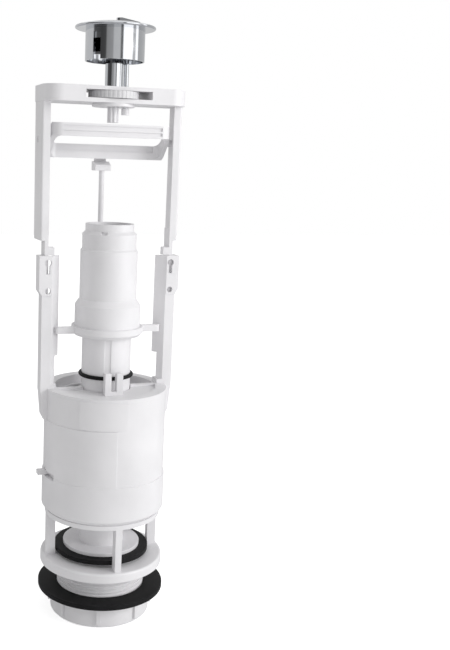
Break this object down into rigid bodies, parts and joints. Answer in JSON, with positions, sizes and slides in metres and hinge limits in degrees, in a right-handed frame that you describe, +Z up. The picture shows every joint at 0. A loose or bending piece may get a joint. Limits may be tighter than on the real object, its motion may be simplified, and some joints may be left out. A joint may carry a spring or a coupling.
{
  "type": "toilet flush valve",
  "caption": "Dual flush valve for a toilet cistern: chrome push button, telescopic frame with rocker, overflow tower, canister, seal cage and threaded tail with back nut.",
  "frame": {"origin": "centre of the outlet mouth, at the lower end of the tail", "axes": "+Z up along the valve axis, +Y to the back, +X to the right of someone facing the front"},
  "size_m": [0.0944, 0.0854, 0.3916],
  "materials": {
    "white_plastic": "satin white moulded plastic",
    "grey_plastic": "satin pale grey moulded plastic",
    "black_rubber": "matt black rubber",
    "chrome_plate": "bright chrome plate",
    "spring_steel": "drawn spring wire"
  },
  "bodies": {
    "base": {"valve_base": "white_plastic", "canister": "white_plastic", "lower_frame": "white_plastic", "lid_clip": "white_plastic"},
    "washer": {"tail_washer": "black_rubber"},
    "nut": {"back_nut": "white_plastic"},
    "volume": {"volume_ring": "white_plastic"},
    "float": {"float_bell": "grey_plastic"},
    "valve": {"seal_retainer": "white_plastic", "seal_disc": "black_rubber", "seal_holder": "white_plastic", "overflow_tube": "white_plastic", "tower_sleeve": "white_plastic", "sleeve_ring": "black_rubber", "guide_collar": "white_plastic", "tower": "white_plastic"},
    "frame": {"upper_frame": "white_plastic", "stem_bushing": "white_plastic", "stem_tube": "chrome_plate", "bezel": "chrome_plate", "full_spring": "spring_steel"},
    "height": {"height_nut": "grey_plastic"},
    "lever": {"rocker": "white_plastic"},
    "rod": {"lift_rod": "white_plastic", "rod_hook": "white_plastic"},
    "full": {"full_button": "chrome_plate", "full_push_rod": "white_plastic", "half_spring": "spring_steel"},
    "half": {"half_button": "chrome_plate", "half_push_rod": "chrome_plate", "half_rod_foot": "white_plastic"}
  },
  "joints": [
    {"name": "washer_slide", "type": "slide", "parent": "base", "child": "washer", "axis": [0, 0, 1], "range_m": [0, 0.012]},
    {"name": "nut_turn", "type": "hinge", "parent": "washer", "child": "nut", "pos_m": [0, 0, 0.0085], "axis": [0, 0, 1], "range_deg": [0, 1870]},
    {"name": "volume_turn", "type": "hinge", "parent": "base", "child": "volume", "pos_m": [0, 0, 0.0995], "axis": [0, 0, 1], "range_deg": [0, 16]},
    {"name": "float_rise", "type": "slide", "parent": "base", "child": "float", "axis": [0, 0, 1], "range_m": [0, 0.025]},
    {"name": "valve_lift", "type": "slide", "parent": "base", "child": "valve", "axis": [0, 0, 1], "range_m": [0, 0.00849]},
    {"name": "frame_height", "type": "slide", "parent": "base", "child": "frame", "axis": [0, 0, 1], "range_m": [0, 0.03]},
    {"name": "height_nut_turn", "type": "hinge", "parent": "frame", "child": "height", "pos_m": [0, 0, 0.3446], "axis": [0, 0, 1], "continuous": true},
    {"name": "full_press", "type": "slide", "parent": "frame", "child": "full", "axis": [0, 0, -1], "range_m": [0, 0.0055], "stiffness_N_per_m": 300, "springref_m": -0.004, "deforming": ["full_spring"]},
    {"name": "half_press", "type": "slide", "parent": "full", "child": "half", "axis": [0, 0, -1], "range_m": [0, 0.004], "stiffness_N_per_m": 200, "springref_m": -0.004, "deforming": ["half_spring"]},
    {"name": "rocker_turn", "type": "hinge", "parent": "frame", "child": "lever", "pos_m": [0, 0.008, 0.3165], "axis": [1, 0, 0], "range_deg": [0, 32.5]},
    {"name": "rod_lift", "type": "slide", "parent": "frame", "child": "rod", "axis": [0, 0, 1], "range_m": [0, 0.00849]}
  ],
  "couplings": [
    {"joint": "washer_slide", "follows": "nut_turn", "m_per_rad": 0.00036749},
    {"joint": "rocker_turn", "follows": "full_press", "rad_per_m": 101.55},
    {"joint": "rod_lift", "follows": "full_press", "ratio": 1.5254},
    {"joint": "valve_lift", "follows": "full_press", "ratio": 1.5254}
  ]
}
